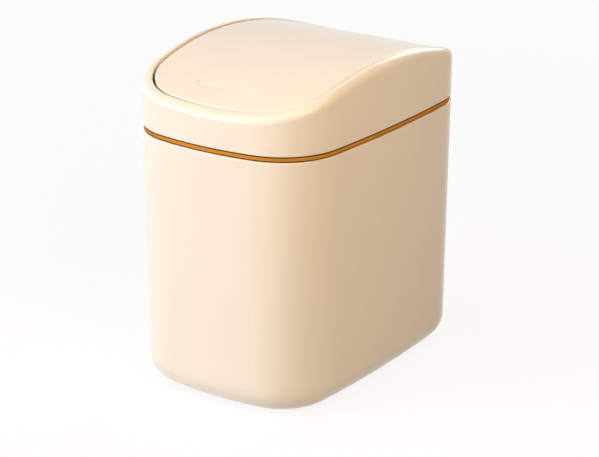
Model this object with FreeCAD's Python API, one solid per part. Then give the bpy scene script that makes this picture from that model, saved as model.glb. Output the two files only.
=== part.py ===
import FreeCAD, Part
import os
import math

V = FreeCAD.Vector

# Overall size in millimetres: X is the width, Y the depth with the front at -Y, Z up from the floor
WIDTH = 110.0
DEPTH = 160.0
HEIGHT = 165.0

# Plan outline: bowed long sides, bowed short sides and round corners
LONG_BOW_R = 700.0
SHORT_BOW_R = 160.0
CORNER_R = 32.0

# Clearances
SEAT_CLEAR = 0.35
PIVOT_CLEAR = 0.05
PAD_CLEAR = 0.1
FLAP_GAP = 1.15

# How far tools run past what they cut or join, and how near two heights or radii count as the same
PAST = 1.0
TOP_PAST = 5.0
SAME = 1e-4

# Bucket
COVER_RISE = 34.3
BAND_MID_Z = HEIGHT - COVER_RISE
BAND_H = 2.8
RIM_Z = BAND_MID_Z - BAND_H / 2
COVER_Z = BAND_MID_Z + BAND_H / 2
BUCKET_WALL = 1.8
BUCKET_FLOOR = 2.4
BUCKET_DRAFT = 1.1
BASE_ROUND = 12.8
RIM_EDGE_R = 0.5

# Foot pads
PAD_R = 6.0
PAD_T = 1.8
PAD_PROUD = 0.8
PAD_EDGE = 0.3
PAD_FROM_SIDE = 28.0
PAD_FROM_END = 30.0
PAD_X = WIDTH / 2 - PAD_FROM_SIDE
PAD_Y = DEPTH / 2 - PAD_FROM_END
BASE_Z = PAD_PROUD

# Bag ring
BAND_INSET = 0.5
BAND_EDGE_R = 0.3
GROOVE_H = 0.45
GROOVE_D = 0.7
SKIRT_OUT = BUCKET_WALL + SEAT_CLEAR
SKIRT_T = 1.3
RING_IN = SKIRT_OUT + SKIRT_T
SKIRT_DROP = 9.5
SKIRT_LEAD = 0.6

# Cover
COVER_WALL = 2.2
ARCH_R = 200.0
RIM_ROUND = 4.2
COVER_EDGE_R = 0.6
LEDGE_T = 2.0
SPIGOT_OUT = RING_IN + SEAT_CLEAR
SPIGOT_T = 1.3
SPIGOT_IN = SPIGOT_OUT + SPIGOT_T
SPIGOT_DROP = 6.0
RIM_FLAT = 0.3
LIP_R = 0.5
LIP_T = 1.3
LIP_DROP = 4.0
OPENING_INSET = RIM_ROUND + RIM_FLAT + LIP_R

# Flap
FLAP_INSET = OPENING_INSET + FLAP_GAP
FLAP_SINK = 0.45
FLAP_TOP_R = ARCH_R - FLAP_SINK
FLAP_T = 2.2
FLAP_EDGE_R = 0.7
FLAP_HALF = WIDTH / 2 - FLAP_INSET

# Pivot: one pin each side, pushed from inside through a flap lug into a blind socket of the cover
PIVOT_DROP = 7.0
PIVOT_Z = HEIGHT - FLAP_SINK - PIVOT_DROP
PIN_R = 1.5
PIN_HEAD_R = 2.6
PIN_HEAD_T = 1.2
PIN_HEAD_EDGE = 0.5
PIN_TIP = 0.4
PIN_END_CLEAR = 0.3
LUG_T = 4.0
LUG_R = 4.5
LUG_SETBACK = 0.3
LUG_OUT = FLAP_HALF - LUG_SETBACK
LUG_IN = LUG_OUT - LUG_T
SOCKET_GAP = 1.1
SOCKET_FACE = LUG_OUT + SOCKET_GAP
SOCKET_R = 3.6
SOCKET_DEPTH = 2.6
PIN_END = SOCKET_FACE + SOCKET_DEPTH - PIN_END_CLEAR

# Stop blocks under the sockets, which end the swing
STOP_HALF_Y = 5.5
STOP_REACH = 1.4
STOP_DROP = 8.0
STOP_EDGE_R = 1.0
STOP_FACE = LUG_OUT - STOP_REACH
STOP_LOW_Z = COVER_Z + LEDGE_T
STOP_TOP_Z = PIVOT_Z - STOP_DROP
WEB_HALF_Y = 2.5

# Press mark: a shallow wedge, deepest along its front edge
MARK_L = 36.0
MARK_W = 7.0
MARK_SETBACK = 16.1
MARK_Y = FLAP_INSET + MARK_SETBACK - DEPTH / 2
MARK_DEPTH = 0.6
MARK_FLARE = 4.5
MARK_TOOL_H = 2.0

# Balance weight under the flap, with its posts and screws
BAR_L = 64.0
BAR_W = 10.0
BAR_T = 5.0
BAR_DROP = 6.5
BAR_TOP_Z = PIVOT_Z - BAR_DROP
BAR_EDGE = 0.6
BAR_TRIM = 0.23
POST_X = 22.0
POST_R = 4.0
SCREW_R = 1.25
SCREW_HOLE_R = 1.45
SCREW_HEAD_R = 2.5
SCREW_HEAD_H = 1.8
SCREW_HEAD_EDGE = 0.6
SCREW_GRIP = 6.0
SLOT_L = 3.0
SLOT_W = 0.6
SLOT_D = 1.0
RIB_T = 1.6
RIB_HEAD_CLEAR = 1.5
RIB_DROP = 3.0
RIB_HALF_X = LUG_IN - PIN_HEAD_T - RIB_HEAD_CLEAR
RIB_LOW_Z = PIVOT_Z - RIB_DROP


def unit(x, y):
    length = math.hypot(x, y)
    return x / length, y / length


def plan_wire(inset, z):
    """Closed outline of eight tangent arcs, every radius reduced by the inset."""
    long_x = WIDTH / 2 - LONG_BOW_R
    short_y = DEPTH / 2 - SHORT_BOW_R
    a = LONG_BOW_R - CORNER_R
    b = SHORT_BOW_R - CORNER_R
    gap = math.hypot(long_x, short_y)
    along = (a * a - b * b + gap * gap) / (2 * gap)
    off = math.sqrt(a * a - along * along)
    dx, dy = unit(-long_x, short_y)
    corner_x = long_x + dx * along - dy * off
    corner_y = dy * along + dx * off
    ux, uy = unit(corner_x - long_x, corner_y)
    wx, wy = unit(corner_x, corner_y - short_y)
    mx, my = unit(ux + wx, uy + wy)
    r = CORNER_R - inset
    p1 = (corner_x + ux * r, corner_y + uy * r)
    pm = (corner_x + mx * r, corner_y + my * r)
    p2 = (corner_x + wx * r, corner_y + wy * r)
    side = (WIDTH / 2 - inset, 0.0)
    end = (0.0, DEPTH / 2 - inset)
    loop = []
    for sx, sy in ((1, 1), (-1, 1), (-1, -1), (1, -1)):
        corner = [(p1[0] * sx, p1[1] * sy), (pm[0] * sx, pm[1] * sy), (p2[0] * sx, p2[1] * sy)]
        middle = (end[0], end[1] * sy) if sx * sy > 0 else (side[0] * sx, side[1])
        if sx * sy < 0:
            corner.reverse()
        loop += corner + [middle]
    points = [V(x, y, z) for x, y in loop]
    edges = []
    for k in range(0, len(points), 4):
        nxt = points[(k + 4) % len(points)]
        edges.append(Part.Arc(points[k], points[k + 1], points[k + 2]).toShape())
        edges.append(Part.Arc(points[k + 2], points[k + 3], nxt).toShape())
    return Part.Wire(edges)


def prism(inset, z_low, z_high):
    return Part.Face(plan_wire(inset, z_low)).extrude(V(0, 0, z_high - z_low))


def band(inset_out, inset_in, z_low, z_high):
    return prism(inset_out, z_low, z_high).cut(prism(inset_in, z_low - PAST, z_high + PAST))


def arch_cylinder(radius):
    """Solid cylinder along X whose top is the lid's arch, or that arch moved inwards."""
    centre = V(-WIDTH, 0, HEIGHT - ARCH_R)
    solid = Part.makeCylinder(radius, 2 * WIDTH, centre, V(1, 0, 0))
    solid.rotate(centre, V(1, 0, 0), 180)
    return solid


def arch_edges(shape, radius, inset=0.0):
    """Edges of the faces that lie on the arch of the given radius, inside the outline of the inset."""
    beyond = outside_of(inset)
    found = []
    for face in shape.Faces:
        surface = face.Surface
        if isinstance(surface, Part.Cylinder) and abs(surface.Radius - radius) < SAME:
            for edge in face.Edges:
                mid = edge.valueAt((edge.FirstParameter + edge.LastParameter) / 2)
                if not beyond(mid.x, mid.y):
                    found.append(edge)
    return found


def edges_at(shape, z, keep=None):
    """Edges that lie level at the height z, and for which keep(x, y) holds at their middle."""
    found = []
    for edge in shape.Edges:
        box = edge.BoundBox
        if abs(box.ZMin - z) < SAME and abs(box.ZMax - z) < SAME:
            mid = edge.valueAt((edge.FirstParameter + edge.LastParameter) / 2)
            if keep is None or keep(mid.x, mid.y):
                found.append(edge)
    return found


def outside_of(inset):
    """Test for a point that lies outside the outline of the given inset."""
    face = Part.Face(plan_wire(inset, 0))
    return lambda x, y: not face.isInside(V(x, y, 0), 1e-6, True)


def domed(inset, z_low):
    """Cover solid: the outline raised to the arch, its top edge rounded, all moved in by the inset."""
    radius = ARCH_R - inset
    body = prism(inset, z_low, HEIGHT + TOP_PAST).common(arch_cylinder(radius))
    return body.makeFillet(RIM_ROUND - inset, arch_edges(body, radius))


def rod_x(radius, x_from, x_to, z):
    return Part.makeCylinder(radius, x_to - x_from, V(x_from, 0, z), V(1, 0, 0))


def block(x_from, x_to, y_half, z_low, z_high):
    return Part.makeBox(x_to - x_from, 2 * y_half, z_high - z_low, V(x_from, -y_half, z_low))


def mirror_x(shape):
    return shape.mirror(V(0, 0, 0), V(1, 0, 0))


def stadium(length, width, z):
    """Slot outline with round ends, long along X and centred on the origin."""
    r = width / 2
    h = length / 2 - r
    low = Part.makeLine(V(-h, -r, z), V(h, -r, z))
    right = Part.Arc(V(h, -r, z), V(h + r, 0, z), V(h, r, z)).toShape()
    top = Part.makeLine(V(h, r, z), V(-h, r, z))
    left = Part.Arc(V(-h, r, z), V(-h - r, 0, z), V(-h, -r, z)).toShape()
    return Part.Wire([low, right, top, left])


# Bucket: drafted tub with a round base edge, a flat rim and recesses for the pads
def bucket_inset(z):
    return BUCKET_DRAFT * (RIM_Z - z) / (RIM_Z - BASE_Z)


def tub(inset, z_low, z_high, base_round):
    low = plan_wire(inset + bucket_inset(z_low), z_low)
    high = plan_wire(inset + bucket_inset(z_high), z_high)
    body = Part.makeLoft([low, high], True, True)
    return body.makeFillet(base_round, edges_at(body, z_low))


floor_z = BASE_Z + BUCKET_FLOOR
bucket = tub(0.0, BASE_Z, RIM_Z, BASE_ROUND)
bucket = bucket.cut(tub(BUCKET_WALL, floor_z, RIM_Z + TOP_PAST, BASE_ROUND - BUCKET_WALL))
bucket = bucket.makeFillet(RIM_EDGE_R, edges_at(bucket, RIM_Z, outside_of(BUCKET_WALL / 2)))
pad_spots = [(PAD_X, PAD_Y), (-PAD_X, PAD_Y), (-PAD_X, -PAD_Y), (PAD_X, -PAD_Y)]
pads = []
for x, y in pad_spots:
    bucket = bucket.cut(Part.makeCylinder(PAD_R + PAD_CLEAR, PAD_T, V(x, y, 0)))
    pad = Part.makeCylinder(PAD_R, PAD_T, V(x, y, 0))
    pads.append(pad.makeChamfer(PAD_EDGE, edges_at(pad, 0)))

# Bag ring: the band that shows, with a shadow groove above and below it, standing on the bucket's rim,
# and a skirt that clamps the bag inside
skirt_z = RIM_Z - SKIRT_DROP
band_low = RIM_Z + GROOVE_H
band_high = COVER_Z - GROOVE_H
ring = band(BAND_INSET, RING_IN, band_low, band_high)
neck = band(BAND_INSET + GROOVE_D, RING_IN, RIM_Z, COVER_Z)
ring = ring.multiFuse([neck, band(SKIRT_OUT, RING_IN, skirt_z, RIM_Z)]).removeSplitter()
outer_band = outside_of(BAND_INSET + BAND_EDGE_R / 2)
ring = ring.makeFillet(BAND_EDGE_R, edges_at(ring, band_low, outer_band) + edges_at(ring, band_high, outer_band))
ring = ring.makeChamfer(SKIRT_LEAD, edges_at(ring, skirt_z, outside_of(SKIRT_OUT + SKIRT_T / 2)))

# Cover: arched shell with an opening turned down to a lip, a ledge and spigot below, and a pivot socket
# and stop on each side
lip = band(OPENING_INSET - LIP_T, OPENING_INSET + LIP_T, COVER_Z, HEIGHT + TOP_PAST)
hollow = domed(COVER_WALL, COVER_Z - PAST).cut(lip.cut(arch_cylinder(ARCH_R - LIP_DROP)))
cover = domed(0.0, COVER_Z).cut(hollow)
cover = cover.cut(prism(OPENING_INSET, COVER_Z, HEIGHT + TOP_PAST))
cover = cover.makeFillet(LIP_R, arch_edges(cover, ARCH_R, OPENING_INSET - LIP_R / 2))
core = domed(COVER_WALL / 2, COVER_Z)
ledge = band(COVER_WALL / 2, SPIGOT_IN, COVER_Z, COVER_Z + LEDGE_T)
spigot = band(SPIGOT_OUT, SPIGOT_IN, COVER_Z - SPIGOT_DROP, COVER_Z + LEDGE_T / 2)
side_limit = WIDTH / 2
socket = rod_x(SOCKET_R, SOCKET_FACE, side_limit, PIVOT_Z)
web = block(SOCKET_FACE, side_limit, WEB_HALF_Y, STOP_TOP_Z - PAST, PIVOT_Z)
stop = block(STOP_FACE, side_limit, STOP_HALF_Y, STOP_LOW_Z - PAST, STOP_TOP_Z)
stop = stop.makeFillet(STOP_EDGE_R, [e for e in stop.Edges if abs(e.BoundBox.XMax - STOP_FACE) < SAME])
pivot_side = socket.multiFuse([web, stop]).common(core)
cover = cover.multiFuse([ledge, spigot, pivot_side, mirror_x(pivot_side)])
hole = rod_x(PIN_R + PIVOT_CLEAR, SOCKET_FACE - PAST, SOCKET_FACE + SOCKET_DEPTH, PIVOT_Z)
cover = cover.cut(hole).cut(mirror_x(hole)).removeSplitter()
cover = cover.makeFillet(COVER_EDGE_R, edges_at(cover, COVER_Z, outside_of(COVER_EDGE_R / 2)))

# Flap: arched panel with a rounded edge, a press mark, side lugs, posts for the weight and a cross rib
panel = prism(FLAP_INSET, COVER_Z, HEIGHT + TOP_PAST).common(arch_cylinder(FLAP_TOP_R))
panel = panel.makeFillet(FLAP_EDGE_R, arch_edges(panel, FLAP_TOP_R))
panel = panel.cut(arch_cylinder(FLAP_TOP_R - FLAP_T))
under_z = HEIGHT - FLAP_SINK - FLAP_T
root_z = under_z + FLAP_T / 10
lug = rod_x(LUG_R, LUG_IN, LUG_OUT, PIVOT_Z).fuse(block(LUG_IN, LUG_OUT, LUG_R, PIVOT_Z, root_z))
post = Part.makeCylinder(POST_R, root_z - BAR_TOP_Z, V(POST_X, 0, BAR_TOP_Z))
rib = block(-RIB_HALF_X, RIB_HALF_X, RIB_T / 2, RIB_LOW_Z, root_z)
flap = panel.multiFuse([lug, mirror_x(lug), post, mirror_x(post), rib])
lug_hole = rod_x(PIN_R, LUG_IN - PAST, LUG_OUT + PAST, PIVOT_Z)
pilot = Part.makeCylinder(SCREW_R, SCREW_GRIP, V(POST_X, 0, BAR_TOP_Z))
for tool in (lug_hole, pilot):
    flap = flap.cut(tool).cut(mirror_x(tool))
slope = math.asin(-MARK_Y / FLAP_TOP_R)
tilt = math.atan(MARK_DEPTH / MARK_W)
wide = 2 * MARK_FLARE
mark = Part.makeLoft([stadium(MARK_L, MARK_W, 0), stadium(MARK_L + wide, MARK_W + wide, MARK_TOOL_H)], True, True)
mark.rotate(V(0, 0, 0), V(1, 0, 0), math.degrees(slope + tilt))
depth = FLAP_TOP_R - MARK_DEPTH / 2
mark.translate(V(0, -depth * math.sin(slope), HEIGHT - ARCH_R + depth * math.cos(slope)))
flap = flap.cut(mark).removeSplitter()

# Pivot pin: a headed pin through the flap's lug into the cover's socket
pin_right = rod_x(PIN_R, LUG_IN, PIN_END, PIVOT_Z)
tip = [e for e in pin_right.Edges if abs(e.BoundBox.XMin - PIN_END) < SAME]
pin_right = pin_right.makeChamfer(PIN_TIP, tip)
head = rod_x(PIN_HEAD_R, LUG_IN - PIN_HEAD_T, LUG_IN, PIVOT_Z)
head = head.makeFillet(PIN_HEAD_EDGE, [e for e in head.Edges if abs(e.BoundBox.XMax - LUG_IN + PIN_HEAD_T) < SAME])
pin_right = pin_right.fuse(head).removeSplitter()
pin_left = mirror_x(pin_right)

# Balance weight: steel bar below the pivot, screwed up against the two posts, a little forward of
# its holes to make up for the plastic that the press mark takes away
bar = block(-BAR_L / 2, BAR_L / 2, BAR_W / 2, BAR_TOP_Z - BAR_T, BAR_TOP_Z)
bar = bar.makeChamfer(BAR_EDGE, bar.Edges)
bar.translate(V(0, -BAR_TRIM, 0))
screws = []
for x in (-POST_X, POST_X):
    bar_low = BAR_TOP_Z - BAR_T
    bar = bar.cut(Part.makeCylinder(SCREW_HOLE_R, BAR_T + 2 * PAST, V(x, 0, bar_low - PAST)))
    shank = Part.makeCylinder(SCREW_R, BAR_T + SCREW_GRIP, V(x, 0, bar_low))
    cap = Part.makeCylinder(SCREW_HEAD_R, SCREW_HEAD_H, V(x, 0, bar_low - SCREW_HEAD_H))
    cap = cap.makeFillet(SCREW_HEAD_EDGE, edges_at(cap, bar_low - SCREW_HEAD_H))
    cross = block(-SLOT_L / 2, SLOT_L / 2, SLOT_W / 2, -SLOT_D, SLOT_D)
    cross = cross.fuse(block(-SLOT_W / 2, SLOT_W / 2, SLOT_L / 2, -SLOT_D, SLOT_D))
    cross.translate(V(x, 0, bar_low - SCREW_HEAD_H))
    screws.append(shank.fuse(cap).cut(cross).removeSplitter())

nodes = {
    "bucket": bucket,
    "foot_pads": Part.makeCompound(pads),
    "bag_ring": ring,
    "cover_shell": cover,
    "flap_panel": flap,
    "pivot_pin_left": pin_left,
    "pivot_pin_right": pin_right,
    "balance_weight": bar,
    "weight_screws": Part.makeCompound(screws),
}
os.makedirs("parts", exist_ok=True)
for name, shape in nodes.items():
    box = shape.BoundBox
    print(name, "valid", shape.isValid(), "solids", len(shape.Solids), "volume", round(shape.Volume, 1),
          "x", round(box.XMin, 2), round(box.XMax, 2), "y", round(box.YMin, 2), round(box.YMax, 2),
          "z", round(box.ZMin, 2), round(box.ZMax, 2))
    shape.exportStep("parts/" + name + ".step")
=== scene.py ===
import math
import bpy
from mathutils import Matrix, Vector

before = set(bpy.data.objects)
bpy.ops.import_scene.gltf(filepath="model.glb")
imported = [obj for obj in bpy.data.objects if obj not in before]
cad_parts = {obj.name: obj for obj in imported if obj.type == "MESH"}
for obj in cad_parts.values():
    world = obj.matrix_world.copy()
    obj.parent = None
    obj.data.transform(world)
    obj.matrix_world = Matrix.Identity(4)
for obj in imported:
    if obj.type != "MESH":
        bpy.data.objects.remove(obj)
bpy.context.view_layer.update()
scene = bpy.context.scene

# Bucket
# The tub that stands on the table. It is one injection moulding in cream polypropylene, pulled
# straight off its core, with drafted walls, a wide round base edge and an open flat rim.
MM = 0.001


def linear(code):
    """Linear RGBA of an sRGB hex colour: straight near black, a power of 2.4 above."""
    channels = [int(code[k:k + 2], 16) / 255 for k in (1, 3, 5)]
    return (*[c / 12.92 if c <= 0.04045 else ((c + 0.055) / 1.055) ** 2.4 for c in channels], 1.0)


def add(tree, kind, inputs, **settings):
    """Adds a node: settings are its own options, inputs are values to set or outputs to link."""
    node = tree.nodes.new(kind)
    for name, value in settings.items():
        setattr(node, name, value)
    for name, value in inputs.items():
        if isinstance(value, bpy.types.NodeSocket):
            tree.links.new(value, node.inputs[name])
        else:
            node.inputs[name].default_value = value
    return node


def new_material(name):
    """Empty node material, with its tree and the Object coordinates that its patterns read."""
    material = bpy.data.materials.new(name)
    material.use_nodes = True
    material.node_tree.nodes.clear()
    place = add(material.node_tree, "ShaderNodeTexCoord", {}).outputs["Object"]
    return material, material.node_tree, place


def dress(material, *nodes):
    """Puts a material on the slots of CAD nodes."""
    for name in nodes:
        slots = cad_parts[name].data.materials
        slots.clear()
        slots.append(material)


# Polypropylene off a fine spark-eroded mould: a soft satin sheen, a tone that drifts a little
# with the flow of the melt, and long shallow waves where the wall shrank. The real grain is
# about 0.1 mm wide and is drawn at 0.45 mm to show.
GRAIN = 0.45 * MM
GRAIN_DEPTH = 0.08 * MM
SHRINK_WAVE = 16 * MM
WAVE_DEPTH = 0.3 * MM
FLOW_PATCH = 45 * MM
cream, tree, place = new_material("polypropylene_moulded_satin_cream")
flow = add(tree, "ShaderNodeTexNoise",
           {"Vector": place, "Scale": 1 / FLOW_PATCH, "Detail": 2.0})
tone = add(tree, "ShaderNodeMix",
           {"Factor": flow.outputs["Fac"], "A": linear("#F3E8DA"), "B": linear("#F7EDE0")},
           data_type="RGBA")
grain = add(tree, "ShaderNodeTexNoise",
            {"Vector": place, "Scale": 1 / GRAIN, "Detail": 2.0})
gloss = add(tree, "ShaderNodeMapRange",
            {"Value": grain.outputs["Fac"], "To Min": 0.15, "To Max": 0.23})
wave = add(tree, "ShaderNodeTexNoise",
           {"Vector": place, "Scale": 1 / SHRINK_WAVE, "Detail": 0.0})
waved = add(tree, "ShaderNodeBump",
            {"Height": wave.outputs["Fac"], "Strength": 0.1, "Distance": WAVE_DEPTH})
bump = add(tree, "ShaderNodeBump",
           {"Height": grain.outputs["Fac"], "Strength": 0.12, "Distance": GRAIN_DEPTH,
            "Normal": waved.outputs["Normal"]})
shader = add(tree, "ShaderNodeBsdfPrincipled",
             {"Base Color": tone.outputs["Result"], "Roughness": gloss.outputs["Result"],
              "IOR": 1.49, "Normal": bump.outputs["Normal"]})
add(tree, "ShaderNodeOutputMaterial", {"Surface": shader.outputs["BSDF"]})
dress(cream, "bucket")

# Foot pads
# Four round rubber discs pressed into shallow recesses under the base, so that the bin doesn't
# slide. They are punched from sheet and stand a little proud of the plastic.
# Punched rubber sheet: matt and slightly open, with pores about 0.6 mm across.
PORE = 0.6 * MM
PORE_DEPTH = 0.2 * MM
rubber, tree, place = new_material("rubber_punched_sheet_grey")
pores = add(tree, "ShaderNodeTexVoronoi", {"Vector": place, "Scale": 1 / PORE})
shade = add(tree, "ShaderNodeMix",
            {"Factor": pores.outputs["Distance"], "A": linear("#A39B8D"), "B": linear("#BDB5A7")},
            data_type="RGBA")
matt = add(tree, "ShaderNodeMapRange",
           {"Value": pores.outputs["Distance"], "To Min": 0.88, "To Max": 0.72})
pitted = add(tree, "ShaderNodeBump",
             {"Height": pores.outputs["Distance"], "Strength": 0.3, "Distance": PORE_DEPTH})
shader = add(tree, "ShaderNodeBsdfPrincipled",
             {"Base Color": shade.outputs["Result"], "Roughness": matt.outputs["Result"],
              "IOR": 1.52, "Normal": pitted.outputs["Normal"]})
add(tree, "ShaderNodeOutputMaterial", {"Surface": shader.outputs["BSDF"]})
dress(rubber, "foot_pads")

# Bag ring
# The gold band between bucket and cover is the outside of a loose ring. Its skirt drops inside
# the rim and clamps the bag, and it lifts out by hand.
# Plastic metallised in vacuum under a gold lacquer: a warm satin metal with faint lines that run
# round the band. Its edges and the grooves above and below it are painted dark brown as painted
# shade.
# The lines are about 0.05 mm wide and are drawn at 0.3 mm to show.
LINE = 0.3 * MM
LINE_RUN = 12 * MM
BAND_MID_Z = 130.7 * MM
# Heights from the band's middle: the painted shade darkens in between the first two and clears
# between the last two.
FACE_HALF = 0.74 * MM
GROOVE_FROM = 0.88 * MM
GROOVE_TO = 1.6 * MM
GROOVE_END = 1.8 * MM
gold, tree, place = new_material("plastic_vacuum_metallised_satin_gold")
stretch = add(tree, "ShaderNodeMapping",
              {"Vector": place, "Scale": (1 / LINE_RUN, 1 / LINE_RUN, 1 / LINE)})
lines = add(tree, "ShaderNodeTexNoise",
            {"Vector": stretch.outputs["Vector"], "Scale": 1.0, "Detail": 2.0})
face = add(tree, "ShaderNodeMix",
           {"Factor": lines.outputs["Fac"], "A": linear("#AC681C"), "B": linear("#CC8A3A")},
           data_type="RGBA")
height = add(tree, "ShaderNodeSeparateXYZ", {"Vector": place})
above = add(tree, "ShaderNodeMath",
            {0: height.outputs["Z"], 1: BAND_MID_Z}, operation="SUBTRACT")
off = add(tree, "ShaderNodeMath", {0: above.outputs[0]}, operation="ABSOLUTE")
begun = add(tree, "ShaderNodeMapRange",
            {"Value": off.outputs[0], "From Min": FACE_HALF, "From Max": GROOVE_FROM})
past = add(tree, "ShaderNodeMapRange",
           {"Value": off.outputs[0], "From Min": GROOVE_TO, "From Max": GROOVE_END,
            "To Min": 1.0, "To Max": 0.0})
# Painted shade: dark brown painted over the band's edges and into the grooves between the parts.
painted_shade_mask = add(tree, "ShaderNodeMath",
           {0: begun.outputs["Result"], 1: past.outputs["Result"]}, operation="MINIMUM")
band_with_painted_shade = add(tree, "ShaderNodeMix",
              {"Factor": painted_shade_mask.outputs[0], "A": face.outputs["Result"], "B": linear("#42200A")},
              data_type="RGBA")
gloss = add(tree, "ShaderNodeMapRange",
            {"Value": lines.outputs["Fac"], "To Min": 0.5, "To Max": 0.62})
shader = add(tree, "ShaderNodeBsdfPrincipled",
             {"Base Color": band_with_painted_shade.outputs["Result"], "Metallic": 1.0,
              "Roughness": gloss.outputs["Result"], "Specular Tint": linear("#D99A4A")})
add(tree, "ShaderNodeOutputMaterial", {"Surface": shader.outputs["BSDF"]})
dress(gold, "bag_ring")

# Cover
# The arched lid frame that stands on the ring, with the mouth cut through its top, a spigot below
# and a pivot socket each side. It is moulded in the bucket's cream plastic and lifts off with the
# flap.
dress(cream, "cover_shell")

# Flap
# The tilting panel in the mouth, a separate cream moulding that follows the cover's arch, with a
# press mark near the front edge, and lugs, posts and a rib underneath.
dress(cream, "flap_panel")

# Pivot pins
# Two headed pins cut from drawn steel wire. Each is pushed from inside through a flap lug into the
# cover's blind socket, and the flap swings on them.
# Drawn steel: bright, with fine die lines along the wire, about 0.02 mm wide and drawn at 0.15 mm.
DIE_LINE = 0.15 * MM
DIE_RUN = 4 * MM
wire, tree, place = new_material("steel_drawn_wire")
stretch = add(tree, "ShaderNodeMapping",
              {"Vector": place, "Scale": (1 / DIE_RUN, 1 / DIE_LINE, 1 / DIE_LINE)})
lines = add(tree, "ShaderNodeTexNoise",
            {"Vector": stretch.outputs["Vector"], "Scale": 1.0, "Detail": 2.0})
shade = add(tree, "ShaderNodeMix",
            {"Factor": lines.outputs["Fac"], "A": linear("#A9ABAF"), "B": linear("#C6C8CB")},
            data_type="RGBA")
gloss = add(tree, "ShaderNodeMapRange",
            {"Value": lines.outputs["Fac"], "To Min": 0.2, "To Max": 0.38})
shader = add(tree, "ShaderNodeBsdfPrincipled",
             {"Base Color": shade.outputs["Result"], "Metallic": 1.0,
              "Roughness": gloss.outputs["Result"]})
add(tree, "ShaderNodeOutputMaterial", {"Surface": shader.outputs["BSDF"]})
dress(wire, "pivot_pin_left", "pivot_pin_right")

# Balance weight and screws
# A flat steel bar below the pivot line brings the flap back level. Two cross-slotted screws hold
# it up against the flap's posts.
# Zinc-plated mild steel: grey and softly blotched, with crystals of zinc about 2 mm across.
CRYSTAL = 2 * MM
zinc, tree, place = new_material("steel_zinc_plated")
crystals = add(tree, "ShaderNodeTexVoronoi", {"Vector": place, "Scale": 1 / CRYSTAL})
shade = add(tree, "ShaderNodeMix",
            {"Factor": crystals.outputs["Distance"],
             "A": linear("#B4B8BC"), "B": linear("#9CA1A6")},
            data_type="RGBA")
gloss = add(tree, "ShaderNodeMapRange",
            {"Value": crystals.outputs["Distance"], "To Min": 0.3, "To Max": 0.5})
shader = add(tree, "ShaderNodeBsdfPrincipled",
             {"Base Color": shade.outputs["Result"], "Metallic": 1.0,
              "Roughness": gloss.outputs["Result"]})
add(tree, "ShaderNodeOutputMaterial", {"Surface": shader.outputs["BSDF"]})
dress(zinc, "balance_weight", "weight_screws")

# Floor
# A large sheet of white paper under the bin. Eyes and shiny surfaces see it nearly white, with
# the bin's shadow on it, running out to plain white. As light on the bin it is a plain grey card.
FLOOR_HALF = 12.0
WHITE_SHARE = 0.88
FADE_FROM = 0.3
FADE_TO = 1.5
CARD_GREY = 0.62
WHITE = (1, 1, 1, 1)
mesh = bpy.data.meshes.new("floor")
mesh.from_pydata([(-FLOOR_HALF, -FLOOR_HALF, 0), (FLOOR_HALF, -FLOOR_HALF, 0),
                  (FLOOR_HALF, FLOOR_HALF, 0), (-FLOOR_HALF, FLOOR_HALF, 0)], [], [(0, 1, 2, 3)])
floor = bpy.data.objects.new("floor", mesh)
scene.collection.objects.link(floor)


def seen_directly(tree):
    """Output that is 1 for rays from the camera, mirrors and clear things, 0 for other light."""
    path = add(tree, "ShaderNodeLightPath", {})
    shiny = add(tree, "ShaderNodeMath",
                {0: path.outputs["Is Glossy Ray"], 1: path.outputs["Is Transmission Ray"]},
                operation="MAXIMUM")
    return add(tree, "ShaderNodeMath", {0: path.outputs["Is Camera Ray"], 1: shiny.outputs[0]},
               operation="MAXIMUM").outputs[0]


paper, tree, place = new_material("paper_white_matt")
seen = seen_directly(tree)
away = add(tree, "ShaderNodeVectorMath", {0: place}, operation="LENGTH")
white = add(tree, "ShaderNodeMapRange",
            {"Value": away.outputs["Value"], "From Min": FADE_FROM, "From Max": FADE_TO,
             "To Min": WHITE_SHARE, "To Max": 1.0})
share = add(tree, "ShaderNodeMath", {0: seen, 1: white.outputs["Result"]}, operation="MULTIPLY")
shade = add(tree, "ShaderNodeMix",
            {"Factor": seen, "A": (CARD_GREY, CARD_GREY, CARD_GREY, 1), "B": WHITE},
            data_type="RGBA")
lit = add(tree, "ShaderNodeBsdfDiffuse", {"Color": shade.outputs["Result"]})
glow = add(tree, "ShaderNodeEmission", {"Color": WHITE, "Strength": 1.0})
mixed = add(tree, "ShaderNodeMixShader",
            {0: share.outputs[0], 1: lit.outputs[0], 2: glow.outputs[0]})
add(tree, "ShaderNodeOutputMaterial", {"Surface": mixed.outputs[0]})
mesh.materials.append(paper)

# Light
# Soft boxes round the bin in a room that gives little light of its own: the main one low at the
# front left, a weak one in front, a large one overhead, a small warm one near the right side,
# one behind and one on the left.
ROOM_GREY = 0.02
LAMP_AIM = Vector((0, 0, 100 * MM))
PLAIN = (1, 1, 1)
WARM = (1, 0.72, 0.4)
world = bpy.data.worlds.new("studio")
scene.world = world
world.use_nodes = True
tree = world.node_tree
tree.nodes.clear()
tone = add(tree, "ShaderNodeMix",
           {"Factor": seen_directly(tree), "A": (ROOM_GREY, ROOM_GREY, ROOM_GREY, 1), "B": WHITE},
           data_type="RGBA")
sky = add(tree, "ShaderNodeBackground", {"Color": tone.outputs["Result"], "Strength": 1.0})
add(tree, "ShaderNodeOutputWorld", {"Surface": sky.outputs[0]})


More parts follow.
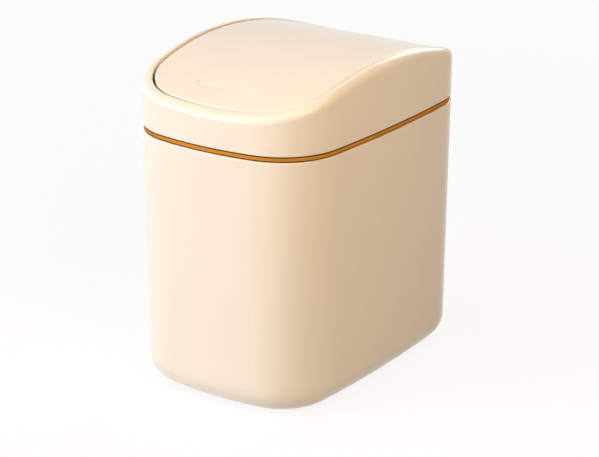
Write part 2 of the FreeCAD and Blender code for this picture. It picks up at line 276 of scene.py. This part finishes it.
def soft_box(name, place, size, power, colour):
    """Rectangular lamp aimed at the bin: place and size in metres, power in watts."""
    data = bpy.data.lights.new(name, "AREA")
    data.shape = "RECTANGLE"
    data.size, data.size_y = size
    data.energy = power
    data.color = colour
    lamp = bpy.data.objects.new(name, data)
    aim = (LAMP_AIM - Vector(place)).to_track_quat("-Z", "Y").to_matrix().to_4x4()
    lamp.matrix_world = Matrix.Translation(place) @ aim
    scene.collection.objects.link(lamp)


soft_box("key", (-0.9, -1.25, 0.5), (0.9, 0.6), 14.4, PLAIN)
soft_box("front", (0.2, -1.5, 0.7), (0.9, 0.8), 2.0, PLAIN)
soft_box("top", (-0.3, -0.6, 1.6), (1.2, 1.2), 9.4, PLAIN)
soft_box("fill", (0.45, -0.25, 0.55), (0.3, 0.3), 2.5, WARM)
soft_box("back", (-0.25, 1.6, 0.9), (0.8, 0.8), 8.0, PLAIN)
soft_box("left", (-1.45, -0.25, 0.4), (0.6, 0.6), 3.5, PLAIN)

# Camera
# Long lens from the front right, a little above the lid and about a metre away. The picture is
# 599 pixels wide, and the focal length is given in those pixels.
PICTURE_W = 599
FOCAL_PIXELS = 2110.322
SENSOR_W = 36.0
DISTANCE = 1062.914 * MM
AIM_RIGHT = -0.333 * MM
AIM_Z = 67.599 * MM
TURN = math.radians(34.596)
RISE = math.radians(20.171)
ROLL = math.radians(0.222)
back = Vector((math.sin(TURN) * math.cos(RISE), -math.cos(TURN) * math.cos(RISE), math.sin(RISE)))
right = Vector((math.cos(TURN), math.sin(TURN), 0))
up = back.cross(right)
spot = right * AIM_RIGHT + Vector((0, 0, AIM_Z)) + back * DISTANCE
rolled = (right * math.cos(ROLL) + up * math.sin(ROLL),
          up * math.cos(ROLL) - right * math.sin(ROLL), back)
data = bpy.data.cameras.new("camera")
data.sensor_width = SENSOR_W
data.lens = FOCAL_PIXELS * SENSOR_W / PICTURE_W
camera = bpy.data.objects.new("camera", data)
camera.matrix_world = Matrix.Translation(spot) @ Matrix(rolled).transposed().to_4x4()
scene.collection.objects.link(camera)
scene.camera = camera

scene.view_settings.view_transform = "Standard"
